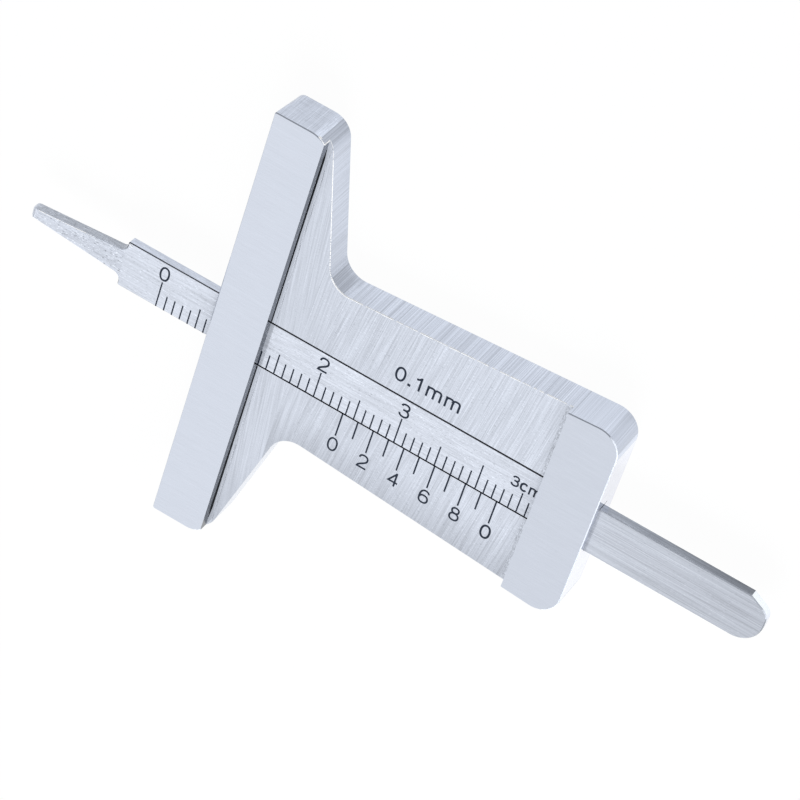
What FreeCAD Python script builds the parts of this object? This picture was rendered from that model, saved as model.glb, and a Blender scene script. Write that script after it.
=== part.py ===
import FreeCAD, Part
import math
import os

# A pocket vernier depth gauge in three pieces: a one-piece T-shaped body, a flat depth rod that
# slides through it, and the leaf spring that holds the rod where it is put.
# Frame: the origin is the centre of the measuring face. X runs along the rod, away from the
# probe, Y along the crossbar, and Z is up through the scales. All sizes are in millimetres.

# body
crossbar_length = 55.0
crossbar_width = 6.1
body_thickness = 5.2
body_length = 46.3
rear_bar_width = 6.5
recess_depth = 1.3
arm_end_width = 6.35
arm_corner_radius = 2.6
front_corner_radius_above = 0.25
front_corner_radius_below = 1.0
neck_x = 11.0
neck_half_width = 10.15
neck_radius = 3.0
stem_flare_deg = 4.3
rear_corner_radius = 2.8
edge_break = 0.1

# depth rod
rod_width = 5.9
rod_thickness = 1.2
rod_length = 90.4
rod_offset = 0.56
rod_edge_break = 0.1
probe_length = 11.85
probe_end_width = 1.3
probe_root_width = 3.3
probe_end_radius = 0.55
probe_nose_radius = 0.7
probe_root_radius = 0.9
shoulder_radius = 0.2
tail_flat_length = 2.4
tail_flat_deg = 28.0
tail_flat_radius = 1.5

# running clearances of the rod in its slot
side_clearance = 0.09
face_clearance = 0.03

# leaf spring, a wavy strip on edge between the rod and the slot's far wall, its foot in a groove
spring_room = 0.12
spring_thickness = 0.05
spring_height = 1.55
spring_bows = 3
spring_clearance = 0.015
groove_depth = 0.5
hook_length = 0.5
hook_clearance = 0.05
hook_inset = 1.5

# scales, engraved marks along the rod's near edge and beside it on the recess floor
reading = 23.7
zero_mark_place = 16.8
rod_mark_width = 0.17
vernier_mark_width = 0.19
mark_depth = 0.05
rod_mark_spacing = 1.0
rod_mark_count = 51
rod_marks_to_middle = 5
rod_marks_to_long = 10
rod_mark_length = 1.95
rod_mark_length_five = 2.7
rod_mark_length_ten = 3.35
vernier_mark_spacing = 1.9
vernier_mark_count = 11
vernier_mark_length_odd = 2.4
vernier_mark_length_even = 3.15

# modelling: how far apart two points or heights may lie and still count as one
same_place = 0.0001

# places that follow from the sizes
top = body_thickness / 2
underside = -body_thickness / 2
recess_floor = top - recess_depth
rear_bar_front = body_length - rear_bar_width
rod_near_edge = -rod_offset - rod_width / 2
rod_far_edge = -rod_offset + rod_width / 2
rod_bottom = recess_floor - rod_thickness
slot_near = rod_near_edge - side_clearance
slot_far = rod_far_edge + spring_room
slot_floor = rod_bottom - face_clearance
slot_ceiling = recess_floor + face_clearance
groove_floor = slot_floor - groove_depth
tip_x = -reading
shoulder_x = tip_x + probe_length
rod_rear_x = tip_x + rod_length
hook_notch = hook_length + hook_clearance


def vector(x, y, z=0.0):
    return FreeCAD.Vector(x, y, z)


def block(x0, x1, y0, y1, z0, z1):
    """A rectangular block between two opposite corners."""
    return Part.makeBox(x1 - x0, y1 - y0, z1 - z0, vector(x0, y0, z0))


def rounded_wire(corners):
    """A closed wire through (x, y, radius) corners, each turned into a tangent arc."""
    points = [vector(x, y) for x, y, radius in corners]
    arcs = []
    for i, point in enumerate(points):
        radius = corners[i][2]
        before = (points[i - 1] - point).normalize()
        after = (points[(i + 1) % len(points)] - point).normalize()
        half_angle = before.getAngle(after) / 2
        reach = radius / math.tan(half_angle)
        bisector = (before + after).normalize()
        middle = point + bisector * (radius / math.sin(half_angle) - radius)
        arcs.append((point + before * reach, middle, point + after * reach))
    edges = []
    for i, (start, middle, end) in enumerate(arcs):
        if corners[i][2] > 0:
            edges.append(Part.Arc(start, middle, end).toShape())
        following = arcs[(i + 1) % len(arcs)][0]
        if following.distanceToPoint(end) > same_place:
            edges.append(Part.LineSegment(end, following).toShape())
    return Part.Wire(edges)


def plate(corners, bottom, thickness):
    """A flat plate of the given outline, with its lower face at the height bottom."""
    solid = Part.Face(rounded_wire(corners)).extrude(vector(0, 0, thickness))
    solid.translate(vector(0, 0, bottom))
    return solid


def edges_at_height(solid, height):
    """The edges that lie wholly in the level plane at this height."""
    def is_level(edge):
        box = edge.BoundBox
        return abs(box.ZMin - height) < same_place and abs(box.ZMax - height) < same_place
    return [edge for edge in solid.Edges if is_level(edge)]


def mirrored(corners):
    """The same corners on the other side of the X axis, in the opposite order."""
    return [(x, -y, radius) for x, y, radius in reversed(corners)]


def body_outline():
    """The T shape from above: straight front, tapered arms, flared stem, rounded rear."""
    flare = (body_length - neck_x) * math.tan(math.radians(stem_flare_deg))
    half = [
        (0.0, crossbar_length / 2, 0),
        (arm_end_width, crossbar_length / 2, arm_corner_radius),
        (neck_x, neck_half_width, neck_radius),
        (body_length, neck_half_width + flare, rear_corner_radius),
    ]
    return half + mirrored(half)


def rod_outline():
    """The rod from above: slim tapered probe, square shoulders, half round tail with a flat ground on it."""
    half_width = rod_width / 2
    front = [
        (tip_x, probe_end_width / 2, probe_end_radius),
        (shoulder_x, probe_root_width / 2, probe_root_radius),
        (shoulder_x, half_width, shoulder_radius),
    ]
    flat_end = half_width - tail_flat_length * math.tan(math.radians(tail_flat_deg))
    tail = [
        (rod_rear_x - tail_flat_length, half_width, 0),
        (rod_rear_x, flat_end, tail_flat_radius),
        (rod_rear_x, -half_width, half_width),
    ]
    return [(x, y - rod_offset, radius) for x, y, radius in front + tail + mirrored(front)]


def rod_slot():
    """The slot right through the body, open upwards only across the recess."""
    return block(0, body_length, slot_near, slot_far, slot_floor, slot_ceiling)


def spring_groove():
    """A narrow groove below the slot, along its far wall, that the foot of the leaf spring stands in."""
    return block(0, body_length, slot_far - spring_room, slot_far, groove_floor, slot_ceiling)


def hook_notches():
    """Two notches in the slot's far wall that take the hooked ends of the leaf spring."""
    width = spring_thickness + 2 * hook_clearance
    fronts = [hook_inset - hook_clearance, body_length - hook_inset - spring_thickness - hook_clearance]
    return [block(x, x + width, slot_far, slot_far + hook_notch, groove_floor, slot_ceiling) for x in fronts]


def mark(x, y_start, y_end, width):
    """One engraved line, as the cutter that leaves it in the surface at recess_floor."""
    half = width / 2
    return block(x - half, x + half, y_start, y_end, recess_floor - mark_depth, top)


def vernier_marks():
    """The vernier's ten divisions, starting at the edge of the slot."""
    cutters = []
    for i in range(vernier_mark_count):
        length = vernier_mark_length_odd if i % 2 else vernier_mark_length_even
        x = zero_mark_place + i * vernier_mark_spacing
        cutters.append(mark(x, rod_near_edge - length, rod_near_edge, vernier_mark_width))
    return cutters


def rod_marks():
    """The rod's millimetre marks, longer at each five and ten."""
    cutters = []
    for i in range(rod_mark_count):
        length = rod_mark_length
        if i % rod_marks_to_long == 0:
            length = rod_mark_length_ten
        elif i % rod_marks_to_middle == 0:
            length = rod_mark_length_five
        x = tip_x + zero_mark_place + i * rod_mark_spacing
        cutters.append(mark(x, rod_near_edge - side_clearance, rod_near_edge + length, rod_mark_width))
    return cutters


def eased_front(blank):
    """The blank with its two front corners rounded, more at the underside than above."""
    def is_corner(edge):
        return edge.BoundBox.XMax < same_place and edge.BoundBox.ZLength > body_thickness - same_place
    corners = [edge for edge in blank.Edges if is_corner(edge)]
    return blank.makeFillet(front_corner_radius_below, front_corner_radius_above, corners)


def make_body():
    blank = eased_front(plate(body_outline(), underside, body_thickness))
    broken = edges_at_height(blank, top) + edges_at_height(blank, underside)
    window = block(crossbar_width, rear_bar_front, -crossbar_length, crossbar_length, recess_floor, top)
    milled = blank.makeChamfer(edge_break, broken).cut(window)
    return milled.cut([rod_slot(), spring_groove()] + hook_notches() + vernier_marks())


def probe_nose():
    """The cutter that rounds the probe's tip off from above."""
    centre_x = tip_x + probe_nose_radius
    centre_z = recess_floor - probe_nose_radius
    corner = block(tip_x, centre_x, -rod_offset - rod_width, -rod_offset + rod_width, centre_z, recess_floor)
    start = vector(centre_x, -rod_offset - rod_width, centre_z)
    return corner.cut(Part.makeCylinder(probe_nose_radius, 2 * rod_width, start, vector(0, 1, 0)))


def make_rod():
    """The rod: the edges that rub on the leaf spring are broken, the scale's edge stays sharp."""
    blank = plate(rod_outline(), rod_bottom, rod_thickness)
    level = edges_at_height(blank, recess_floor) + edges_at_height(blank, rod_bottom)
    rubbing = [edge for edge in level if edge.BoundBox.YMin > rod_far_edge - same_place]
    return blank.makeChamfer(rod_edge_break, rubbing).cut(rod_marks() + [probe_nose()])


def bow_edges(start_x, half_span, wall_y, rod_y):
    """One bow of the spring: two S curves, wall to rod and back, each of two tangent arcs."""
    quarter = half_span / 2
    rise = (rod_y - wall_y) / 2
    radius = (quarter ** 2 + rise ** 2) / (2 * abs(rise))
    turn = math.atan(abs(rise) / quarter)
    along = radius * math.sin(turn)
    across = math.copysign(radius * (1 - math.cos(turn)), rise)
    centre_x = start_x + half_span
    middle_y = wall_y + rise
    points = [
        (start_x, wall_y),
        (start_x + along, wall_y + across),
        (start_x + quarter, middle_y),
        (centre_x - along, rod_y - across),
        (centre_x, rod_y),
        (centre_x + along, rod_y - across),
        (centre_x + quarter, middle_y),
        (centre_x + half_span - along, wall_y + across),
        (centre_x + half_span, wall_y),
    ]
    bent = [vector(x, y) for x, y in points]
    return [Part.Arc(bent[i], bent[i + 1], bent[i + 2]).toShape() for i in (0, 2, 4, 6)]


def make_spring():
    """A strip that waves between the wall and the rod, with a hook bent out at each end."""
    wall_y = slot_far - spring_clearance
    rod_y = rod_far_edge + spring_clearance + spring_thickness
    first_x = hook_inset
    last_x = body_length - hook_inset
    half_span = (last_x - first_x) / (2 * spring_bows)
    outer = []
    for i in range(spring_bows):
        outer += bow_edges(first_x + 2 * i * half_span, half_span, wall_y, rod_y)
    outer_wire = Part.Wire(outer)
    inner_wire = outer_wire.copy()
    inner_wire.translate(vector(0, -spring_thickness))
    caps = [
        Part.LineSegment(vector(x, wall_y), vector(x, wall_y - spring_thickness)).toShape()
        for x in (first_x, last_x)
    ]
    profile = Part.Wire(Part.sortEdges(outer_wire.Edges + inner_wire.Edges + caps)[0])
    strip = Part.Face(profile).extrude(vector(0, 0, spring_height))
    hook_y = wall_y - spring_thickness
    hooks = [
        block(x, x + spring_thickness, hook_y, slot_far + hook_length, 0, spring_height)
        for x in (first_x, last_x - spring_thickness)
    ]
    spring = strip.fuse(hooks).removeSplitter()
    spring.translate(vector(0, 0, groove_floor + face_clearance))
    return spring


os.makedirs("parts", exist_ok=True)
pieces = {"body": make_body(), "depth_rod": make_rod(), "leaf_spring": make_spring()}
for name, shape in pieces.items():
    shape.exportStep("parts/" + name + ".step")
    print(name, "solids", len(shape.Solids), "valid", shape.isValid(), "volume", round(shape.Volume, 2))
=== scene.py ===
import math
import random

import bmesh
import bpy
from mathutils import Euler, Matrix, Vector


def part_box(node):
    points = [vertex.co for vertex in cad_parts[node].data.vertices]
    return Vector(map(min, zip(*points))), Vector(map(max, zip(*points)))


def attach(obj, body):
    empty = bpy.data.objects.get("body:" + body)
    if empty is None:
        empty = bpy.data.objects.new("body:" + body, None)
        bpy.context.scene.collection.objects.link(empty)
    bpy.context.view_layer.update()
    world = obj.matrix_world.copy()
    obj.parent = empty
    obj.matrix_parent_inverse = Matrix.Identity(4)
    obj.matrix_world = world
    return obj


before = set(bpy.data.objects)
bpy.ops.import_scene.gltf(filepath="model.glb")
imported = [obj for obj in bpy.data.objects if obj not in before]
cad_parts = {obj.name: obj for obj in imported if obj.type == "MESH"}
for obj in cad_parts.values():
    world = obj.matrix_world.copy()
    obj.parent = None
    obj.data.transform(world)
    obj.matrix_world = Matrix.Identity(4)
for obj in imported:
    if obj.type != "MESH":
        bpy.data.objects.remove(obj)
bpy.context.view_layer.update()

mm = 0.001  # sizes below are in millimetres and are turned to metres where they are used
scene = bpy.context.scene
samePoint = 0.001  # two spots nearer than this are one
sameLevel = 0.01  # and two heights nearer than this are one

# places read from the frame, in millimetres
bodyLow, bodyHigh = [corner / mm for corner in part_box("body")]
rodLow, rodHigh = [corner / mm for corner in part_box("depth_rod")]
recessFloor = rodHigh.z  # the rod's top lies level with the recess floor
rodNearEdge = rodLow.y  # the edge that the marks start from
rodFarEdge = rodHigh.y


def colour(code):
    # sRGB hex to linear, with alpha
    parts = [int(code[i:i + 2], 16) / 255 for i in (1, 3, 5)]
    return [c / 12.92 if c <= 0.04045 else ((c + 0.055) / 1.055) ** 2.4 for c in parts] + [1.0]


def addNode(tree, kind, settings=None, links=None):
    # one node with its settings and its links: a setting is an attribute, or an input by name or number
    node = tree.nodes.new(kind)
    for name, value in (settings or {}).items():
        if isinstance(name, int) or name in node.inputs:
            node.inputs[name].default_value = value
        else:
            setattr(node, name, value)
    for name, source in (links or {}).items():
        tree.links.new(source, node.inputs[name])
    return node


def newMaterial(name):
    material = bpy.data.materials.new(name)
    material.use_nodes = True
    material.node_tree.nodes.clear()
    return material, material.node_tree


def skinRings(form, rings, closed=False):
    # faces from each ring of corners to the next; an open row is capped at both ends
    following = rings[1:] + rings[:1] if closed else rings[1:]
    for first, second in zip(rings, following):
        for k in range(len(first)):
            after = (k + 1) % len(first)
            form.faces.new((first[k], first[after], second[after], second[k]))
    if not closed:
        form.faces.new(rings[0])
        form.faces.new(rings[-1])


def addPiece(name, form, material, body):
    # a bmesh in millimetres becomes a piece that rides on a body
    bmesh.ops.recalc_face_normals(form, faces=form.faces)
    bmesh.ops.scale(form, vec=(mm, mm, mm), verts=form.verts)
    mesh = bpy.data.meshes.new(name)
    form.to_mesh(mesh)
    form.free()
    mesh.materials.append(material)
    piece = bpy.data.objects.new(name, mesh)
    scene.collection.objects.link(piece)
    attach(piece, body)
    print("piece", name, "with", len(mesh.polygons), "faces")
    return piece


# camera: the photograph's viewpoint, a long lens from the upper rear, rolled over
cameraSetup = {
    "place": (112.04, 251.85, 311.33),
    "aim": (22.21, 1.91, 1.3),
    "rollDeg": -135.11,
    "lensMm": 176.2,
    "sensorMm": 36.0,
    "clipStart": 10.0,
}


def makeCamera(setup):
    data = bpy.data.cameras.new("camera")
    data.lens = setup["lensMm"]
    data.sensor_width = setup["sensorMm"]
    data.clip_start = setup["clipStart"] * mm
    camera = bpy.data.objects.new("camera", data)
    scene.collection.objects.link(camera)
    place = Vector(setup["place"]) * mm
    look = Vector(setup["aim"]) * mm - place
    turn = look.to_track_quat("-Z", "Y").to_matrix()
    roll = Matrix.Rotation(math.radians(setup["rollDeg"]), 3, "Z")
    camera.matrix_world = Matrix.Translation(place) @ (turn @ roll).to_4x4()
    scene.camera = camera


makeCamera(cameraSetup)
print("camera placed")


# light: a softbox behind the near end for the top faces, a long panel beyond the rear for the bright edges,
# and a key lamp for the paper, whose shadow then darkens what the side faces mirror
lighting = {
    "worldColour": "#C8CBD0",
    "worldStrength": 0.6,
    "floorColour": "#F4F5F7",
    "floorSize": 4000.0,
    "floorGap": 0.02,  # how far the paper lies under the body
    "paperWhiteSeen": 0.97,  # share of plain white in what the camera sees of the paper
    "paperWhiteMirrored": 0.85,  # and in what the steel mirrors of it
}
lamps = [  # glow is how bright the lamp's face is, where 1 is white
    {"name": "softbox", "place": (-400.0, -720.0, 880.0), "size": (900.0, 900.0), "glow": 0.71,
     "mirrored": True},
    {"name": "rearPanel", "place": (880.0, -60.0, 480.0), "size": (1500.0, 600.0), "glow": 1.5,
     "mirrored": True},
    {"name": "keyLamp", "place": (300.0, -900.0, 800.0), "size": (600.0, 600.0), "glow": 14.0,
     "mirrored": False},
]
lampAim = Vector((20.0, 0.0, 0.0))  # about the middle of the object


def makeWorld(setup):
    world = bpy.data.worlds.new("studio")
    world.use_nodes = True
    tree = world.node_tree
    tree.nodes.clear()
    back = addNode(tree, "ShaderNodeBackground", {"Color": colour(setup["worldColour"]),
                                                  "Strength": setup["worldStrength"]})
    addNode(tree, "ShaderNodeOutputWorld", links={"Surface": back.outputs[0]})
    scene.world = world


def makeLamp(lamp):
    data = bpy.data.lights.new(lamp["name"], "AREA")
    data.shape = "RECTANGLE"
    data.size, data.size_y = [side * mm for side in lamp["size"]]
    data.energy = lamp["glow"] * math.pi * data.size * data.size_y
    light = bpy.data.objects.new(lamp["name"], data)
    light.visible_glossy = lamp["mirrored"]
    scene.collection.objects.link(light)
    place = Vector(lamp["place"]) * mm
    look = lampAim * mm - place
    light.matrix_world = Matrix.Translation(place) @ look.to_track_quat("-Z", "Y").to_matrix().to_4x4()


def makeFloor(setup):
    half = setup["floorSize"] / 2 * mm
    mesh = bpy.data.meshes.new("floor")
    corners = [(-half, -half, 0), (half, -half, 0), (half, half, 0), (-half, half, 0)]
    mesh.from_pydata(corners, [], [(0, 1, 2, 3)])
    floor = bpy.data.objects.new("floor", mesh)
    floor.location.z = (bodyLow.z - setup["floorGap"]) * mm
    scene.collection.objects.link(floor)
    material, tree = newMaterial("white studio paper")
    paper = addNode(tree, "ShaderNodeBsdfDiffuse", {"Color": colour(setup["floorColour"])})
    white = addNode(tree, "ShaderNodeEmission", {"Color": colour("#FFFFFF"), "Strength": 1.0})
    path = addNode(tree, "ShaderNodeLightPath")
    mirrored = addNode(tree, "ShaderNodeMath", {"operation": "MULTIPLY", 1: setup["paperWhiteMirrored"]},
                       {0: path.outputs["Is Glossy Ray"]})
    share = addNode(tree, "ShaderNodeMath", {"operation": "MULTIPLY_ADD", 1: setup["paperWhiteSeen"]},
                    {0: path.outputs["Is Camera Ray"], 2: mirrored.outputs[0]})
    mix = addNode(tree, "ShaderNodeMixShader", links={0: share.outputs[0], 1: paper.outputs[0],
                                                      2: white.outputs[0]})
    addNode(tree, "ShaderNodeOutputMaterial", links={"Surface": mix.outputs[0]})
    mesh.materials.append(material)


makeWorld(lighting)
for lamp in lamps:
    makeLamp(lamp)
makeFloor(lighting)
scene.view_settings.view_transform = "Standard"
print("studio lit")


# stainless steel, ground all over: a metal with a slightly cool cast, and what the eye sees of it is the
# grinding lines, so each face gets lines of its own direction, spacing and strength
steel = {
    "colour": "#D1D6E0",
    # painted shade: the sides' colour is cooler, standing in for the paper's shade that they mirror
    "paintedSideShade": "#CED5E3",  # the sides stand in the paper's cooler shade
    "roughness": 0.13,
    "anisotropy": 0.3,
    "lineDepth": 0.010,  # how deep a full-contrast line looks
    "lineLayers": ((0.6, 1.04), (1.4, 0.76), (5.0, 0.20)),  # fine, middle and broad lines: widening, weight
    "crossLayer": (1.0, 0.66),
    "lineDetail": 1.5,  # of the noise that draws the lines
    "lineGrain": 0.6,
}
# axis: the way the lines run; size: how far they reach along X, Y and Z; cross: the same for lines ground
# across the first ones; turn: how they lean, in degrees about X, Y and Z; contrast: how far they change the
# tone; tone: the face's own tone, on many faces with painted light and shade in it; specks: how dark the pits
# are, and how bright the painted glints; matt: the share of frosted skin, which scatters light; colour: where
# it is cooler than the rest, on the sides a painted shade; paintedShading: painted light and shade, where the
# tone falls off or grows, as the axis, from, to and to what share. The finest real lines, near 0.02 mm, are
# drawn at about 0.1 mm, to show
finishes = {
    "groundTop": {"axis": "X", "size": (3.0, 0.15, 0.15), "contrast": 0.09, "specks": 0.0, "tone": 1.0},
    # painted shade: the rear bar's top a little darker than the crossbar's
    "rearTop": {"axis": "X", "size": (3.0, 0.15, 0.15), "contrast": 0.09, "specks": 0.0, "tone": 0.94},
    "groundFloor": {"axis": "Y", "size": (0.13, 9.0, 0.13), "turn": (0, 0, -8), "contrast": 0.6,
                    "specks": 0.2, "tone": 1.0,
                    "paintedShading": (("x", 30, 13, 0.94), ("x", 37.8, 39.8, 0.84), ("y", -6.5, -12.0, 0.78))},
    # painted shade: the floor darker round the neck and along the arm, where it narrows between the walls
    "turnFloor": {"axis": "Y", "size": (0.13, 9.0, 0.13), "turn": (0, 0, -2), "contrast": 0.5,
                  "specks": 0.15, "tone": 0.95, "paintedShading": (("y", -6.5, -12.0, 0.8),)},
    "armFloor": {"axis": "Y", "size": (0.13, 9.0, 0.13), "turn": (0, 0, 5), "contrast": 0.45, "specks": 0.1,
                 "tone": 0.94, "paintedShading": (("y", -16, -25, 0.85),)},
    # painted light: the frosted foot's tone is raised to lift the wall's shade off it
    "frostedFoot": {"axis": "Y", "size": (0.13, 9.0, 0.13), "turn": (0, 0, 5), "contrast": 0.5,
                    "specks": 0.1, "tone": 1.06, "matt": 0.7, "paintedShading": (("y", -16, -25, 0.85),)},
    # painted shade, darker before the rear bar's wall, with speckled burrs at its foot
    "shadedBurrFoot": {"axis": "Y", "size": (0.12, 0.5, 0.12), "contrast": 1.2, "specks": 0.35, "tone": 0.8},
    # painted highlights: the bevels facing the rear, and the rim over the crossbar's wall, are lighter
    "rearRim": {"axis": "Y", "size": (0.3, 0.3, 0.3), "contrast": 0.0, "specks": 0.0, "tone": 1.25,
                "matt": 0.8},
    "wallRim": {"axis": "Y", "size": (0.3, 0.3, 0.3), "contrast": 0.0, "specks": 0.0, "tone": 1.1,
                "matt": 0.8},
    "brokenEdge": {"axis": "Y", "size": (0.3, 0.3, 0.3), "contrast": 0.1, "specks": 0.0, "tone": 0.95,
                   "matt": 0.2},
    "groundEnd": {"axis": "Z", "size": (0.12, 0.12, 6.0), "cross": (2.5, 0.12, 0.12), "contrast": 0.6,
                  "specks": 0.1, "tone": 0.955, "colour": steel["paintedSideShade"]},
    # painted light and shade: the sides and their roundings lighter or darker by how they turn to the lamps
    "armSide": {"axis": "Z", "size": (0.14, 0.14, 30.0), "contrast": 0.5, "specks": 0.1, "tone": 0.985,
                "colour": steel["paintedSideShade"], "paintedShading": (("y", 23.8, 24.9, 0.94),)},
    "nearArmSide": {"axis": "Z", "size": (0.5, 0.5, 30.0), "contrast": 0.1, "specks": 0.0, "tone": 0.95,
                    "matt": 0.12, "colour": steel["paintedSideShade"], "paintedShading": (("z", -2.0, -2.4, 0.8),)},
    "armBend": {"axis": "Z", "size": (0.15, 0.15, 2.0), "contrast": 0.55, "specks": 0.15, "tone": 1.08,
                "colour": steel["paintedSideShade"]},
    "armCorner": {"axis": "Z", "size": (0.16, 0.16, 30.0), "contrast": 0.7, "specks": 0.1, "tone": 0.75,
                  "colour": steel["paintedSideShade"]},
    "armTurn": {"axis": "Z", "size": (0.16, 0.16, 30.0), "contrast": 0.5, "specks": 0.1, "tone": 0.865,
                "colour": steel["paintedSideShade"]},
    "stemSide": {"axis": "Z", "size": (0.12, 0.12, 30.0), "contrast": 0.9, "specks": 0.1, "tone": 1.06,
                 "colour": steel["paintedSideShade"], "paintedShading": (("z", -2.6, 1.3, 0.95), ("x", 16, 34, 1.025))},
    # painted shade: the neck's fillet darker, and more so low down
    "neckFillet": {"axis": "Z", "size": (0.18, 0.18, 30.0), "contrast": 0.9, "specks": 0.1, "tone": 0.82,
                   "colour": steel["paintedSideShade"],
                   "paintedShading": (("z", -2.4, -1.4, 0.87), ("z", -1.4, 1.2, 0.93))},
    # painted light: the rear bar's corner, shoulder and end grow white as they turn to the rear, the end a
    # little greyer at its foot
    "rearCorner": {"axis": "Z", "size": (0.15, 0.15, 30.0), "contrast": 0.4, "specks": 0.0, "tone": 1.075,
                   "colour": steel["paintedSideShade"]},
    "rearTurn": {"axis": "Z", "size": (0.14, 0.14, 30.0), "contrast": 0.45, "specks": 0.0, "tone": 0.905,
                 "colour": steel["paintedSideShade"]},
    "rearShoulder": {"axis": "Z", "size": (0.3, 0.3, 20.0), "contrast": 0.1, "specks": 0.0, "tone": 1.15,
                     "colour": steel["paintedSideShade"]},
    "rearFace": {"axis": "Z", "size": (0.3, 0.3, 20.0), "contrast": 0.1, "specks": 0.1, "tone": 1.38,
                 "colour": "#D3D5E3", "paintedShading": (("z", -2.25, -2.5, 0.78),)},
    # painted shade: the crossbar's wall over the recess is dark, lighter at its far end and darker at its
    # near one
    "cutWall": {"axis": "Y", "size": (0.25, 8.0, 0.25), "contrast": 0.3, "specks": 0.0, "tone": 0.29,
                "colour": "#C6CCD8", "paintedShading": (("y", 24.5, 26.8, 1.8), ("y", -12, -22, 0.7))},
    "stripTop": {"axis": "X", "size": (5.0, 0.2, 0.2), "contrast": 0.5, "specks": 0.3, "tone": 0.95,
                 "matt": 0.6, "paintedShading": (("x", 39.8, 43, 0.785),)},
    "probeTop": {"axis": "X", "size": (3.0, 0.2, 0.2), "contrast": 0.6, "specks": 0.6, "tone": 0.94,
                 "matt": 0.2},
    "tailTop": {"axis": "X", "size": (12.0, 0.15, 0.15), "contrast": 0.72, "specks": 0.15, "tone": 0.775,
                "matt": 0.6, "paintedShading": (("x", 46, 66, 0.9), ("y", 1.0, 2.3, 0.96))},
    # the rod's sides: darker and bluer than its top, and darker still towards the rear
    "darkRodSide": {"axis": "X", "size": (6.0, 0.3, 0.3), "contrast": 0.6, "specks": 0.3, "tone": 0.75,
                    "colour": "#C2C9D6", "paintedShading": (("x", 46, 62, 0.53),)},
    "tailEdge": {"axis": "X", "size": (1.0, 0.2, 0.2), "contrast": 0.1, "specks": 0.3, "tone": 0.95,
                 "matt": 0.75},
    "scaleEdge": {"axis": "X", "size": (2.0, 0.3, 0.3), "contrast": 0.5, "specks": 0.3, "tone": 1.02,
                  "colour": steel["paintedSideShade"]},
    # painted shade: the bevel along the scale's far edge is dark
    "scaleBevel": {"axis": "X", "size": (4.0, 0.3, 0.3), "contrast": 0.4, "specks": 0.0, "tone": 0.25},
    "probeEdge": {"axis": "X", "size": (2.0, 0.25, 0.25), "contrast": 0.6, "specks": 0.5, "tone": 0.8,
                  "colour": "#CBD1DC", "matt": 0.35},
    # painted highlight: the probe's top edges are light
    "probeRim": {"axis": "X", "size": (0.5, 0.3, 0.3), "contrast": 0.5, "specks": 0.2, "tone": 1.3,
                 "matt": 0.8},
    "probeNose": {"axis": "Y", "size": (0.2, 0.4, 0.2), "contrast": 0.5, "specks": 0.4, "tone": 1.1,
                  "matt": 0.75},
    # painted light: the rod's round end is white, less so towards its near side
    "roundEnd": {"axis": "Z", "size": (0.3, 0.3, 20.0), "contrast": 0.1, "specks": 0.1, "tone": 1.45,
                 "paintedShading": (("y", 1.4, -0.8, 0.72),)},
    # painted shade: a dark line along the round end's top bevel
    "roundRim": {"axis": "Z", "size": (0.3, 0.3, 20.0), "contrast": 0.1, "specks": 0.0, "tone": 0.45,
                 "matt": 0.75},
}
axes = {"X": (1, 0, 0), "Y": (0, 1, 0), "Z": (0, 0, 1)}


def leanOf(finish):
    return Euler([math.radians(angle) for angle in finish.get("turn", (0, 0, 0))])


def finishLines(tree, place, finish):
    # noise stretched along the lines, in three widths, centred on 0, and a tone that follows it
    heights = None
    layers = [(finish["size"], widen, weight) for widen, weight in steel["lineLayers"]]
    if "cross" in finish:
        layers.append((finish["cross"], *steel["crossLayer"]))
    for reach, widen, weight in layers:
        size = [side * widen * mm for side in reach]
        lie = addNode(tree, "ShaderNodeMapping", {"vector_type": "TEXTURE", "Scale": size,
                                                  "Rotation": leanOf(finish)}, {"Vector": place})
        noise = addNode(tree, "ShaderNodeTexNoise",
                        {"Scale": 1.0, "Detail": steel["lineDetail"], "Roughness": steel["lineGrain"]},
                        {"Vector": lie.outputs[0]})
        middled = addNode(tree, "ShaderNodeMath", {"operation": "SUBTRACT", 1: 0.5},
                          {0: noise.outputs["Fac"]})
        heights = addNode(tree, "ShaderNodeMath", {"operation": "MULTIPLY_ADD", 1: weight, 2: 0.0},
                          {0: middled.outputs[0]} if heights is None else
                          {0: middled.outputs[0], 2: heights.outputs[0]})
    tone = addNode(tree, "ShaderNodeMath", {"operation": "MULTIPLY_ADD", 1: finish["contrast"], 2: 1.0},
                   {0: heights.outputs[0]})
    tone = addNode(tree, "ShaderNodeMath", {"operation": "MULTIPLY", 1: finish["tone"]}, {0: tone.outputs[0]})
    deep = addNode(tree, "ShaderNodeMath", {"operation": "MULTIPLY", 1: finish["contrast"]},
                   {0: heights.outputs[0]})
    return tone.outputs[0], deep.outputs[0]


# pits left by the grinding, and painted glints, longest along X: noise above "from" is a pit, and as far
# below the middle a painted glint, each with a soft rim
specks = {"size": (0.35, 0.12, 0.12), "from": 0.62, "rim": 0.08, "detail": 2.0}


def zoneMask(tree, sight, where):
    # 1 where each named measure lies between its limits; x, y and z are in millimetres
    mask = None
    for name, limits in where.items():
        low, high = [limit * mm if name in ("x", "y", "z") else limit for limit in limits]
        near = addNode(tree, "ShaderNodeMath",
                       {"operation": "COMPARE", 1: (low + high) / 2, 2: (high - low) / 2}, {0: sight[name]})
        mask = near if mask is None else addNode(tree, "ShaderNodeMath", {"operation": "MULTIPLY"},
                                                 {0: mask.outputs[0], 1: near.outputs[0]})
    return mask.outputs[0]


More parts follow.
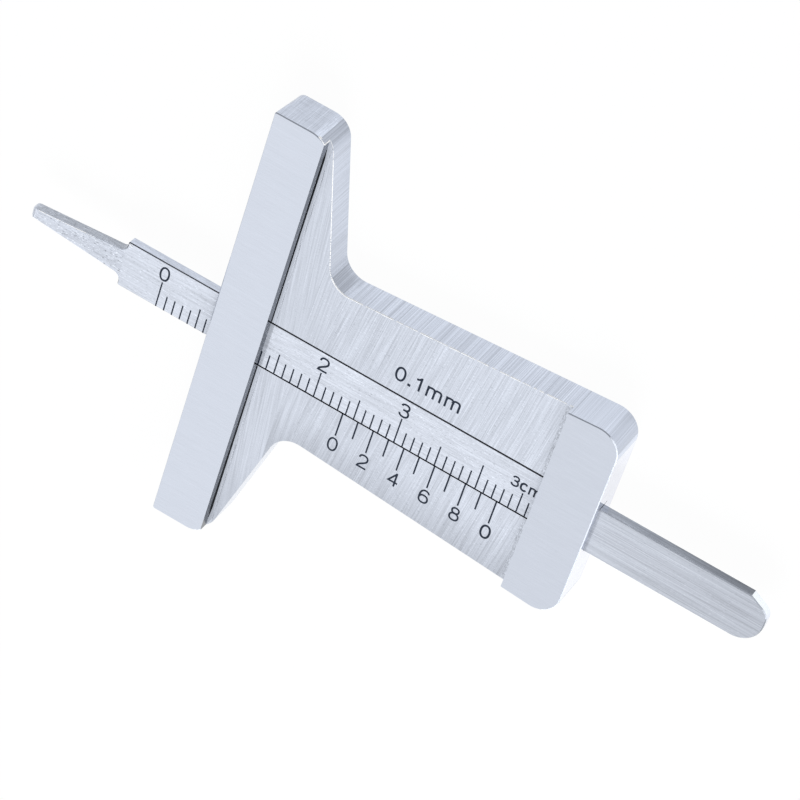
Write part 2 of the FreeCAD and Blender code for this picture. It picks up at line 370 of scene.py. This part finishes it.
def steelMaterial(name, zones):
    # zones: (finish, where), from the general to the special, each laid over those before it
    material, tree = newMaterial(name)
    place = addNode(tree, "ShaderNodeTexCoord").outputs["Object"]
    normal = addNode(tree, "ShaderNodeNewGeometry").outputs["True Normal"]
    spots = addNode(tree, "ShaderNodeSeparateXYZ", links={0: place}).outputs
    faces = addNode(tree, "ShaderNodeSeparateXYZ", links={0: normal}).outputs
    level = addNode(tree, "ShaderNodeMath", {"operation": "ABSOLUTE"}, {0: faces[2]}).outputs[0]
    sight = {"x": spots[0], "y": spots[1], "z": spots[2],
             "facingX": faces[0], "facingY": faces[1], "level": level}
    spread = addNode(tree, "ShaderNodeMapping",
                     {"vector_type": "TEXTURE", "Scale": [side * mm for side in specks["size"]]},
                     {"Vector": place})
    pits = addNode(tree, "ShaderNodeTexNoise", {"Scale": 1.0, "Detail": specks["detail"]},
                   {"Vector": spread.outputs[0]})
    pit = addNode(tree, "ShaderNodeMapRange",
                  {"From Min": specks["from"], "From Max": specks["from"] + specks["rim"]},
                  {"Value": pits.outputs["Fac"]})
    glint = addNode(tree, "ShaderNodeMapRange",
                    {"From Min": 1 - specks["from"], "From Max": 1 - specks["from"] - specks["rim"]},
                    {"Value": pits.outputs["Fac"]})
    pit = addNode(tree, "ShaderNodeMath", {"operation": "SUBTRACT"},
                  {0: pit.outputs[0], 1: glint.outputs[0]}).outputs[0]
    tone = height = along = speck = metal = shade = None
    for finishName, where in zones:
        finish = finishes[finishName]
        toneHere, heightHere = finishLines(tree, place, finish)
        # painted light and shade: the tone falls off or grows along an axis
        for axis, start, end, share in finish.get("paintedShading", ()):
            fall = addNode(tree, "ShaderNodeMapRange",
                           {"From Min": start * mm, "From Max": end * mm, "To Min": 1.0, "To Max": share},
                           {"Value": sight[axis]})
            toneHere = addNode(tree, "ShaderNodeMath", {"operation": "MULTIPLY"},
                               {0: toneHere, 1: fall.outputs[0]}).outputs[0]
        alongHere = leanOf(finish).to_matrix() @ Vector(axes[finish["axis"]])
        ownColour = finish.get("colour", steel["colour"])
        if where is None:
            tone, height = toneHere, heightHere
            along = addNode(tree, "ShaderNodeCombineXYZ", dict(zip("XYZ", alongHere))).outputs[0]
            speck = addNode(tree, "ShaderNodeMath", {"operation": "MULTIPLY", 1: finish["specks"]},
                            {0: pit}).outputs[0]
            metal = addNode(tree, "ShaderNodeValue").outputs[0]
            metal.default_value = 1.0
            shade = addNode(tree, "ShaderNodeCombineXYZ", dict(zip("XYZ", colour(ownColour)))).outputs[0]
            continue
        here = zoneMask(tree, sight, where)
        tone = addNode(tree, "ShaderNodeMix", {"data_type": "FLOAT"},
                       {0: here, 2: tone, 3: toneHere}).outputs[0]
        height = addNode(tree, "ShaderNodeMix", {"data_type": "FLOAT"},
                         {0: here, 2: height, 3: heightHere}).outputs[0]
        speckHere = addNode(tree, "ShaderNodeMath", {"operation": "MULTIPLY", 1: finish["specks"]}, {0: pit})
        speck = addNode(tree, "ShaderNodeMix", {"data_type": "FLOAT"},
                        {0: here, 2: speck, 3: speckHere.outputs[0]}).outputs[0]
        metal = addNode(tree, "ShaderNodeMix", {"data_type": "FLOAT", 3: 1 - finish.get("matt", 0.0)},
                        {0: here, 2: metal}).outputs[0]
        along = addNode(tree, "ShaderNodeMix", {"data_type": "VECTOR", 5: alongHere},
                        {0: here, 4: along}).outputs[1]
        shade = addNode(tree, "ShaderNodeMix", {"data_type": "VECTOR", 5: colour(ownColour)[:3]},
                        {0: here, 4: shade}).outputs[1]
    clean = addNode(tree, "ShaderNodeMath", {"operation": "SUBTRACT", 0: 1.0}, {1: speck})
    total = addNode(tree, "ShaderNodeMath", {"operation": "MULTIPLY"}, {0: tone, 1: clean.outputs[0]})
    tinted = addNode(tree, "ShaderNodeVectorMath", {"operation": "SCALE"},
                     {0: shade, "Scale": total.outputs[0]})
    across = addNode(tree, "ShaderNodeVectorMath", {"operation": "CROSS_PRODUCT"}, {0: along, 1: normal})
    bump = addNode(tree, "ShaderNodeBump", {"Strength": 1.0, "Distance": steel["lineDepth"] * mm},
                   {"Height": height})
    shader = addNode(tree, "ShaderNodeBsdfPrincipled",
                     {"Roughness": steel["roughness"], "Anisotropic": steel["anisotropy"]},
                     {"Metallic": metal, "Base Color": tinted.outputs[0], "Normal": bump.outputs[0],
                      "Tangent": across.outputs[0]})
    addNode(tree, "ShaderNodeOutputMaterial", links={"Surface": shader.outputs[0]})
    return material


# where each finish lies: x, y and z in millimetres, facing and level in parts of a unit normal
flat = (0.9, 1.1)
upright = (-0.1, 0.1)
bevelled = (0.6, 0.8)
recessLevel = (recessFloor - 0.1, recessFloor + 0.1)
wallLevel = (recessFloor + 0.01, bodyHigh.z)
frontHalf = (0, bodyHigh.x / 2)
crossbarCorner = (3, 7.5)
wallTop = (5.8, 6.2)  # the rim over the crossbar's wall
wallFoot = (6, 6.55)
armReach = (6, 9.8)
neckTurn = (9.8, 12.4)
neckReach = (9.5, 13.6)
barFoot = (39.1, 39.9)  # the floor before the rear bar's wall
rearBar = (39, 47)
rearRound = (bodyHigh.x - 6, bodyHigh.x + 1)
rearEnd = (bodyHigh.x - 3, bodyHigh.x + 1)
bodySteel = steelMaterial("ground stainless steel", [
    ("groundEnd", None),
    ("armSide", {"facingX": (0.93, 0.99)}),
    ("nearArmSide", {"facingX": (0.93, 0.99), "facingY": (-1, -0.1)}),
    ("armBend", {"facingX": (0.15, 0.43), "x": crossbarCorner}),
    ("armCorner", {"facingX": (0.43, 0.85), "x": crossbarCorner}),
    ("armTurn", {"facingX": (0.85, 0.955), "x": crossbarCorner}),
    ("stemSide", {"facingX": (-0.12, -0.04)}),
    ("groundTop", {"level": flat}),
    ("rearTop", {"level": flat, "x": rearBar}),
    ("groundFloor", {"level": flat, "z": recessLevel}),
    ("turnFloor", {"level": flat, "z": recessLevel, "x": neckTurn}),
    ("armFloor", {"level": flat, "z": recessLevel, "x": armReach}),
    ("frostedFoot", {"level": flat, "z": recessLevel, "x": wallFoot}),
    ("shadedBurrFoot", {"level": flat, "z": recessLevel, "x": barFoot}),
    ("brokenEdge", {"level": bevelled}),
    ("rearRim", {"level": bevelled, "facingX": (0.3, 1.0)}),
    ("wallRim", {"level": bevelled, "facingX": (0.6, 0.8), "x": wallTop}),
    ("neckFillet", {"facingX": (0.2, 0.78), "x": neckReach, "level": upright}),
    ("rearCorner", {"level": upright, "x": rearRound}),
    ("rearTurn", {"facingX": (0.33, 0.96), "level": upright, "x": rearEnd}),
    ("rearShoulder", {"facingX": (0.96, 0.999), "x": rearEnd}),
    ("rearFace", {"facingX": (0.999, 1.1), "x": rearEnd}),
    ("cutWall", {"facingX": flat, "z": wallLevel, "x": frontHalf}),
])
shoulder = -11.9  # where the probe ends and the scale's part begins
pastEnd = 70  # beyond the rod's rear end
probeReach = (-30, shoulder)
scaleReach = (shoulder, 42)
tailReach = (43, pastEnd)
rodSteel = steelMaterial("drawn stainless strip", [
    ("darkRodSide", None),
    ("scaleEdge", {"facingY": (0.5, 1.1), "x": (shoulder, 20)}),
    ("probeEdge", {"x": probeReach}),
    ("roundEnd", {"facingX": (0.05, 1.1), "x": (64.2, pastEnd)}),
    ("stripTop", {"level": flat}),
    ("probeTop", {"level": flat, "x": probeReach}),
    ("tailTop", {"level": flat, "x": tailReach}),
    ("tailEdge", {"level": bevelled, "x": (42, pastEnd)}),
    ("roundRim", {"level": bevelled, "x": (63.5, pastEnd), "y": (-4, 0.6)}),
    ("scaleBevel", {"level": bevelled, "x": scaleReach}),
    ("probeRim", {"level": bevelled, "x": probeReach}),
    ("probeNose", {"facingX": (-1.1, -0.1), "x": (-25, -22.5)}),
])
for name, material in (("body", bodySteel), ("depth_rod", rodSteel), ("leaf_spring", rodSteel)):
    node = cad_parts[name]
    node.data.materials.clear()
    node.data.materials.append(material)
print("steel finished")


# black enamel, baked into the engraved marks: half matt, and a black with a blue cast
enamel = {"colour": "#0A1A2E", "roughness": 0.5, "metallic": 0.0, "mottleSize": 0.1, "mottle": 0.25}
# burrs along a sharp edge, in a painted highlight's white: smoother and lighter than the faces
burrHighlight = {"colour": "#FFFFFF", "roughness": 0.4, "metallic": 0.3, "mottleSize": 0.2, "mottle": 0.1}
# painted shade, dark and matt: in the corner of the recess and in the rod's running gap
cornerShadeFinish = {"colour": "#101218", "roughness": 0.8, "metallic": 0.0, "mottleSize": 0.15, "mottle": 0.4}
mottleGrain = {"gloss": 0.2, "detail": 3.0}  # share by which the gloss changes, and how finely it breaks up


def plainMaterial(name, setup):
    # a finish with a fine mottle in its tone and its gloss
    material, tree = newMaterial(name)
    place = addNode(tree, "ShaderNodeTexCoord").outputs["Object"]
    noise = addNode(tree, "ShaderNodeTexNoise",
                    {"Scale": 1 / (setup["mottleSize"] * mm), "Detail": mottleGrain["detail"]},
                    {"Vector": place})
    tone = addNode(tree, "ShaderNodeMapRange", {"To Min": 1 - setup["mottle"], "To Max": 1 + setup["mottle"]},
                   {"Value": noise.outputs["Fac"]})
    tinted = addNode(tree, "ShaderNodeVectorMath", {"operation": "SCALE", 0: colour(setup["colour"])[:3]},
                     {"Scale": tone.outputs[0]})
    smooth, dull = [setup["roughness"] * (1 + side * mottleGrain["gloss"]) for side in (-1, 1)]
    rough = addNode(tree, "ShaderNodeMapRange", {"To Min": smooth, "To Max": dull},
                    {"Value": noise.outputs["Fac"]})
    shader = addNode(tree, "ShaderNodeBsdfPrincipled", {"Metallic": setup["metallic"]},
                     {"Base Color": tinted.outputs[0], "Roughness": rough.outputs[0]})
    addNode(tree, "ShaderNodeOutputMaterial", links={"Surface": shader.outputs[0]})
    return material


enamelBlack = plainMaterial("black baked enamel", enamel)
burrHighlightSteel = plainMaterial("burr with painted highlight", burrHighlight)
paintedShadeDark = plainMaterial("painted corner and gap shade", cornerShadeFinish)


# enamel in the engraved marks: one bar in each groove of the CAD, a hair under the surface
inlay = {
    "grooveDepth": 0.05,
    "sunk": 0.008,  # how far the enamel stands below the steel
    "clear": 0.003,  # gap to the groove's walls and floor
    "tolerance": 0.002,
    "widest": 0.25,  # no groove is wider, and no two stand nearer
}


def grooveBoxes(node, setup):
    # x and y limits of each groove floor, read from the CAD mesh, in millimetres
    floorLevel = recessFloor - setup["grooveDepth"]
    spots = sorted((v.co.x / mm, v.co.y / mm) for v in node.data.vertices
                   if abs(v.co.z / mm - floorLevel) < setup["tolerance"])
    groups = []
    for spot in spots:
        if groups and spot[0] - groups[-1][-1][0] < setup["widest"]:
            groups[-1].append(spot)
        else:
            groups.append([spot])
    boxes = []
    for group in groups:
        across, along = zip(*group)
        boxes.append((min(across), max(across), min(along), max(along)))
    return boxes


def addBlock(form, low, high):
    # a closed box from corner to corner
    made = bmesh.ops.create_cube(form, size=1.0)
    for vertex in made["verts"]:
        vertex.co = [low[i] + (vertex.co[i] + 0.5) * (high[i] - low[i]) for i in range(3)]


def fillGrooves(pieceName, nodeName, body, setup):
    form = bmesh.new()
    clear = setup["clear"]
    for left, right, near, far in grooveBoxes(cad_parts[nodeName], setup):
        addBlock(form, (left + clear, near + clear, recessFloor - setup["grooveDepth"] + clear),
                 (right - clear, far - clear, recessFloor - setup["sunk"]))
    return addPiece(pieceName, form, enamelBlack, body)


fillGrooves("rodMarkEnamel", "depth_rod", "rod", inlay)
fillGrooves("vernierMarkEnamel", "body", "frame", inlay)


# figures: strokes of even width; a stroke is a list of points (x, y) and arcs (x, y, halfWidth, halfHeight,
# from, to), in parts of the figure's height, with its left foot at 0, 0
figures = {
    "0": [[(0.335, 0.5, 0.28, 0.445, 0, 360)]],
    "1": [[(0.04, 0.77), (0.14, 0.785), (0.24, 0.83), (0.31, 0.90), (0.335, 0.955)],
          [(0.355, 0.0), (0.355, 1.0)]],
    "2": [[(0.335, 0.70, 0.27, 0.245, 180, -32), (0.49, 0.47), (0.35, 0.365), (0.19, 0.25), (0.09, 0.15),
           (0.06, 0.055), (0.65, 0.055)]],
    "3": [[(0.335, 0.74, 0.245, 0.205, 172, -90), (0.22, 0.535)],
          [(0.22, 0.534), (0.335, 0.295, 0.285, 0.24, 90, -172)]],
    "4": [[(0.47, 0.93), (0.06, 0.30), (0.67, 0.30)], [(0.485, 0.0), (0.485, 1.0)]],
    "6": [[(0.36, 0.50, 0.305, 0.445, 36, 178), (0.055, 0.32)], [(0.335, 0.315, 0.28, 0.26, 0, 360)]],
    "8": [[(0.335, 0.75, 0.225, 0.195, 0, 360)], [(0.335, 0.30, 0.28, 0.245, 0, 360)]],
    "c": [[(0.33, 0.39, 0.27, 0.335, 42, 318)]],
    "m": [[(0.055, 0.0), (0.055, 0.75)],
          [(0.055, 0.50), (0.25, 0.50, 0.19, 0.195, 180, 90), (0.33, 0.52, 0.17, 0.175, 90, 0), (0.50, 0.0)],
          [(0.50, 0.50), (0.69, 0.50, 0.19, 0.195, 180, 90), (0.77, 0.52, 0.17, 0.175, 90, 0), (0.94, 0.0)]],
}
lettering = {"proud": 0.012, "step": 0.0006, "sunk": 0.01, "arcStepDeg": 12, "roundness": 2.25,
             "point": (0.2, 0.165)}  # the decimal point's width and height, in parts of a figure's height
mitreLimit = 0.45  # at a sharp turn a stroke is at most one over this as wide


def strokeLine(stroke, setup):
    # the stroke's points, with each arc of a slightly squared ellipse cut into short steps
    line = []
    for item in stroke:
        if len(item) == 2:
            line.append(Vector(item))
            continue
        x, y, halfWidth, halfHeight, start, end = item
        steps = max(2, round(abs(end - start) / setup["arcStepDeg"]))
        for i in range(steps + 1):
            angle = math.radians(start + (end - start) * i / steps)
            c, s = math.cos(angle), math.sin(angle)
            power = 2 / setup["roundness"]
            line.append(Vector((x + halfWidth * math.copysign(abs(c) ** power, c),
                                y + halfHeight * math.copysign(abs(s) ** power, s))))
    return line


def addStroke(form, line, half, low, high):
    # a flat ribbon of even width along the line, closed on itself where its ends meet
    closed = (line[0] - line[-1]).length < half
    points = line[:-1] if closed else line
    count = len(points)
    rings = []
    for i, point in enumerate(points):
        before = points[i - 1] if closed or i else point
        after = points[(i + 1) % count] if closed or i < count - 1 else point
        into = (point - before).normalized() if before is not point else (after - point).normalized()
        out = (after - point).normalized() if after is not point else into
        side = (into + out).normalized().orthogonal()
        width = half / max(mitreLimit, side.dot(into.orthogonal()))
        rings.append([form.verts.new((*(point + side * reach), z))
                      for reach, z in ((-width, low), (width, low), (width, high), (-width, high))])
    skinRings(form, rings, closed)


def addFigures(pieceName, body, words, setup):
    # words: (character, left, foot, height, width of the stroke) in millimetres
    form = bmesh.new()
    for character, left, foot, height, width in words:
        if character == ".":
            wide, tall = [share * height for share in setup["point"]]
            addBlock(form, (left, foot, recessFloor - setup["sunk"]),
                     (left + wide, foot + tall, recessFloor + setup["proud"]))
            continue
        for order, stroke in enumerate(figures[character]):
            line = [Vector((left, foot)) + point * height for point in strokeLine(stroke, setup)]
            drop = order * setup["step"]  # no two strokes share a plane
            low, high = recessFloor - setup["sunk"] - drop, recessFloor + setup["proud"] - drop
            addStroke(form, line, width / 2, low, high)
    return addPiece(pieceName, form, enamelBlack, body)


scaleText = {
    "height": 1.82,
    "width": 0.67,  # of a figure, in parts of its height
    "rodZero": -6.9,  # x of the rod's zero mark at rest
    "rodFoot": rodNearEdge + 3.54,
    "rodStep": 10.0,
    "rodStroke": 0.222,
    "vernierZero": 16.8,
    "vernierStep": 3.8,
    "vernierFoot": rodNearEdge - 5.27,
    "vernierStroke": 0.21,
    "lastStroke": 0.245,  # the last figure is cut deeper, so its lines are wider
}
# the unit on the body and the text at the end of the rod's scale: character, left, foot and height
unitText = {"words": [("0", 20.76, 4.06, 1.8), (".", 22.39, 4.07, 1.8), ("1", 23.13, 4.1, 1.75),
                      ("m", 24.57, 4.1, 1.8), ("m", 26.82, 4.1, 1.8)], "stroke": 0.242}
endText = {"words": [("3", 36.46, -0.57, 1.34), ("c", 37.55, -0.57, 1.34), ("m", 38.62, -0.57, 1.34)],
           "strokes": (0.196, 0.23, 0.2)}


def scaleFigures(characters, zero, step, foot, strokes):
    # figures of the scale's height, each centred over its own mark
    half = scaleText["width"] * scaleText["height"] / 2
    return [(character, zero + i * step - half, foot, scaleText["height"], stroke)
            for i, (character, stroke) in enumerate(zip(characters, strokes))]


rodCharacters = "0123"
rodWords = scaleFigures(rodCharacters, scaleText["rodZero"], scaleText["rodStep"], scaleText["rodFoot"],
                        [scaleText["rodStroke"]] * len(rodCharacters))
rodWords += [(*word, stroke) for word, stroke in zip(endText["words"], endText["strokes"])]
vernierCharacters = "024680"
vernierStrokes = [scaleText["vernierStroke"]] * (len(vernierCharacters) - 1) + [scaleText["lastStroke"]]
vernierWords = scaleFigures(vernierCharacters, scaleText["vernierZero"], scaleText["vernierStep"],
                            scaleText["vernierFoot"], vernierStrokes)
vernierWords += [(*word, unitText["stroke"]) for word in unitText["words"]]
addFigures("rodFigures", "rod", rodWords, lettering)
addFigures("vernierFigures", "frame", vernierWords, lettering)


# burrs with a painted highlight: thin white beads along the recess's outer edges, in stretches that each
# start at a distance from the arm's tip: faint at the tip, whole on the arm, crumbled before the neck, thick
# round it and broken on the stem
beadUneven = (0.7, 1.3)  # a dash's thinnest and thickest, as shares of its stretch's radius
steep = 0.9  # a bead that rises more than this takes its sides from X
outerSide = 1.0  # an outer side comes at least this near to the underside
edgeBead = {"sides": 8, "seed": 5, "stretches": (
    {"start": 0.0, "radius": 0.02, "dash": (0.5, 1.0), "gap": (0.05, 0.2)},
    {"start": 2.2, "radius": 0.045, "dash": (2.0, 5.0), "gap": (0.02, 0.06)},
    {"start": 11.5, "radius": 0.045, "dash": (0.12, 0.4), "gap": (0.06, 0.2)},
    {"start": 16.2, "radius": 0.11, "dash": (1.2, 2.4), "gap": (-0.1, 0.03)},
    {"start": 20.8, "radius": 0.065, "dash": (0.3, 1.8), "gap": (0.05, 0.4)},
)}


def recessEdges():
    # the recess floor's edges over the outer sides, read from the CAD mesh, in millimetres
    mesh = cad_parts["body"].data
    form = bmesh.new()
    form.from_mesh(mesh)
    bmesh.ops.remove_doubles(form, verts=form.verts, dist=samePoint * mm)
    found = []
    for edge in form.edges:
        ends = [v.co / mm for v in edge.verts]
        if any(abs(end.z - recessFloor) > sameLevel for end in ends) or len(edge.link_faces) != 2:
            continue
        depths = [min(v.co.z for v in face.verts) / mm for face in edge.link_faces]
        if min(depths) < bodyLow.z + outerSide and max(depths) > recessFloor - sameLevel:
            found.append(ends)
    form.free()
    return found


def chainEdges(pairs):
    # join edges end to end into lines
    lines = []
    left = [[a.copy(), b.copy()] for a, b in pairs]
    while left:
        line = left.pop()
        grown = True
        while grown:
            grown = False
            for pair in left:
                for a, b in (pair, pair[::-1]):
                    if (line[-1] - a).length < samePoint:
                        line.append(b)
                        grown = True
                    elif (line[0] - a).length < samePoint:
                        line.insert(0, b)
                        grown = True
                    if grown:
                        break
                if grown:
                    left.remove(pair)
                    break
        lines.append(line)
    return lines


def stretchOf(line, start, end):
    # the part of a line between two distances along it
    points, gone = [], 0.0
    for a, b in zip(line, line[1:]):
        step = (b - a).length
        if gone + step > start and gone < end:
            if not points:
                points.append(a.lerp(b, max(0.0, (start - gone) / step)))
            points.append(a.lerp(b, min(1.0, (end - gone) / step)))
        gone += step
    return points


def addBead(form, line, radius, sides):
    # a thin closed round bar along the line, capped at both ends
    rings = []
    for i, point in enumerate(line):
        into = (line[min(i + 1, len(line) - 1)] - line[max(i - 1, 0)]).normalized()
        side = into.cross(Vector((0, 0, 1) if abs(into.z) < steep else (1, 0, 0))).normalized()
        rings.append([form.verts.new(point + radius * (math.cos(a) * side + math.sin(a) * side.cross(into)))
                      for a in [2 * math.pi * (k + 0.5) / sides for k in range(sides)]])
    skinRings(form, rings)


def lengthOf(line):
    return sum((b - a).length for a, b in zip(line, line[1:]))


def addDashes(form, line, setup, draw):
    # beads of uneven length and thickness with uneven gaps along the line
    whole = lengthOf(line)
    start = draw.uniform(*setup["gap"])
    while start < whole - setup["dash"][0]:
        end = min(whole, start + draw.uniform(*setup["dash"]))
        radius = setup["radius"] * draw.uniform(*beadUneven)
        addBead(form, stretchOf(line, start, end), radius, setup["sides"])
        start = end + draw.uniform(*setup["gap"])


def highlightRecessEdges(setup):
    draw = random.Random(setup["seed"])
    form = bmesh.new()
    for line in chainEdges([ends for ends in recessEdges() if ends[0].y > 0]):
        if line[0].x > line[-1].x:
            line = line[::-1]
        starts = [stretch["start"] for stretch in setup["stretches"]] + [lengthOf(line)]
        for stretch, start, end in zip(setup["stretches"], starts, starts[1:]):
            addDashes(form, stretchOf(line, start, end), {**stretch, "sides": setup["sides"]}, draw)
    return addPiece("recessEdgeBurr", form, burrHighlightSteel, "frame")


# and along the rod's far edge: on the probe, at the shoulder and, thinner, on the tail
rodBead = {"sides": 8, "seed": 11, "inset": 0.03, "stretches": (
    {"reach": (-22.9, -15.5), "radius": 0.05, "dash": (0.3, 1.4), "gap": (0.02, 0.2)},
    {"reach": (-15.5, -13.5), "radius": 0.03, "dash": (0.2, 0.5), "gap": (0.1, 0.3)},
    {"reach": (-11.75, -11.1), "radius": 0.06, "dash": (0.2, 0.5), "gap": (0.0, 0.05)},
    {"reach": (47.0, 64.0), "radius": 0.022, "dash": (0.5, 3.0), "gap": (0.05, 0.4)},
)}


def rodRim():
    # the rod top's far edge, as its corners in the CAD mesh from the probe's tip on, in millimetres
    spots = {(round(v.co.x / mm, 3), round(v.co.y / mm, 3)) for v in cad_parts["depth_rod"].data.vertices
             if abs(v.co.z / mm - recessFloor) < sameLevel}
    middle = (rodNearEdge + rodFarEdge) / 2
    return sorted(spot for spot in spots if spot[1] > middle)


def rimAt(rim, x):
    # the rim's y at x: the highest corner line there, because marks end on the rim as well
    before = max((spot for spot in rim if spot[0] <= x), key=lambda spot: (spot[0], spot[1]))
    after = min((spot for spot in rim if spot[0] > x), key=lambda spot: (spot[0], -spot[1]))
    return before[1] + (after[1] - before[1]) * (x - before[0]) / (after[0] - before[0])


def highlightRodEdge(setup):
    draw = random.Random(setup["seed"])
    form = bmesh.new()
    rim = rodRim()
    for stretch in setup["stretches"]:
        line = [Vector((x, rimAt(rim, x) - setup["inset"], recessFloor - setup["inset"]))
                for x in stretch["reach"]]
        addDashes(form, line, {**stretch, "sides": setup["sides"]}, draw)
    return addPiece("rodEdgeBurr", form, burrHighlightSteel, "rod")


# the crossbar's far rear corner: a painted highlight, as a bright bead round the top edge that thins out,
# then down the wall's edge
cornerBead = {
    "sides": 8, "seed": 3, "dash": (0.25, 0.6), "gap": (-0.1, -0.02),
    "thick": 0.14, "thin": 0.07, "wall": 0.07,  # radii
    "centre": (4.356, 24.9), "turnRadius": 2.59,  # of the corner's rounding
    "turnsDeg": (70, 60, 47.9), "steps": 4,
}


def cornerSpot(setup, turnDeg, height):
    turn = math.radians(turnDeg)
    return Vector((setup["centre"][0] + setup["turnRadius"] * math.cos(turn),
                   setup["centre"][1] + setup["turnRadius"] * math.sin(turn), height))


def highlightCorner(setup):
    draw = random.Random(setup["seed"])
    form = bmesh.new()
    steps = setup["steps"]
    for radius, start, end in zip((setup["thick"], setup["thin"]), setup["turnsDeg"], setup["turnsDeg"][1:]):
        high = bodyHigh.z - radius * beadUneven[1]  # so that no dash stands above the crossbar
        line = [cornerSpot(setup, start + (end - start) * i / steps, high) for i in range(steps + 1)]
        addDashes(form, line, {**setup, "radius": radius}, draw)
    last = setup["turnsDeg"][-1]
    line = [cornerSpot(setup, last, bodyHigh.z - setup["wall"]), cornerSpot(setup, last, recessFloor)]
    addDashes(form, line, {**setup, "radius": setup["wall"]}, draw)
    return addPiece("cornerBurrHighlight", form, burrHighlightSteel, "frame")


highlightRecessEdges(edgeBead)
highlightRodEdge(rodBead)
highlightCorner(cornerBead)


# painted shade: a thin dark fillet where the recess floor meets the two bars, thin at the slot, thickest
# towards the ends of the bars, and higher on the near side than on the far one
cornerShadeLine = {
    "width": 0.13, "farHeight": 0.03, "nearHeight": 0.1, "sunk": 0.005, "slotClear": 0.15, "endClear": 1.1,
    "taper": 1.5,  # how far from its end it starts to thin out
    "atSlot": 0.65, "atEnd": 0.2,  # shares of the full size
}


def addCornerShade(setup):
    form = bmesh.new()
    sunk = setup["sunk"]
    for line in chainEdges(recessEdges()):
        for foot in (line[0], line[-1]):
            into = 1 if foot.x < bodyHigh.x / 2 else -1
            side = 1 if foot.y > 0 else -1
            height = setup["farHeight"] if side > 0 else setup["nearHeight"]
            inner = rodFarEdge + setup["slotClear"] if side > 0 else rodNearEdge - setup["slotClear"]
            outer = foot.y - side * setup["endClear"]
            rings = [[form.verts.new((foot.x - sunk * into, y, recessFloor - sunk)),
                      form.verts.new((foot.x + setup["width"] * share * into, y, recessFloor - sunk)),
                      form.verts.new((foot.x - sunk * into, y, recessFloor + height * share))]
                     for y, share in ((inner, setup["atSlot"]), (outer - side * setup["taper"], 1.0),
                                      (outer, setup["atEnd"]))]
            skinRings(form, rings)
    return addPiece("recessCornerShade", form, paintedShadeDark, "frame")


# and painted shade in the running gap along the rod's far edge, above the leaf spring: a dark bar that
# towards the rear widens onto the recess floor
gapShade = {"inset": 0.02, "width": 0.085, "rearWiden": 0.035, "springClear": 0.02, "high": 0.004}


def fillGap(setup):
    form = bmesh.new()
    near = rodFarEdge + setup["inset"]
    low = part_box("leaf_spring")[1].z / mm + setup["springClear"]
    feet = [foot.x for line in chainEdges(recessEdges()) for foot in (line[0], line[-1])]
    wallFeet = sorted({round(foot, 2) for foot in feet})
    addBlock(form, (wallFeet[0] + setup["inset"], near, low),
             (wallFeet[-1] - setup["inset"], near + setup["width"], recessFloor + setup["high"]))
    middle = (wallFeet[0] + wallFeet[-1]) / 2
    for corner in form.verts:
        if corner.co.x > middle and corner.co.y > near + setup["width"] / 2:
            corner.co.y += setup["rearWiden"]
    return addPiece("runningGapShade", form, paintedShadeDark, "frame")


addCornerShade(cornerShadeLine)
fillGap(gapShade)
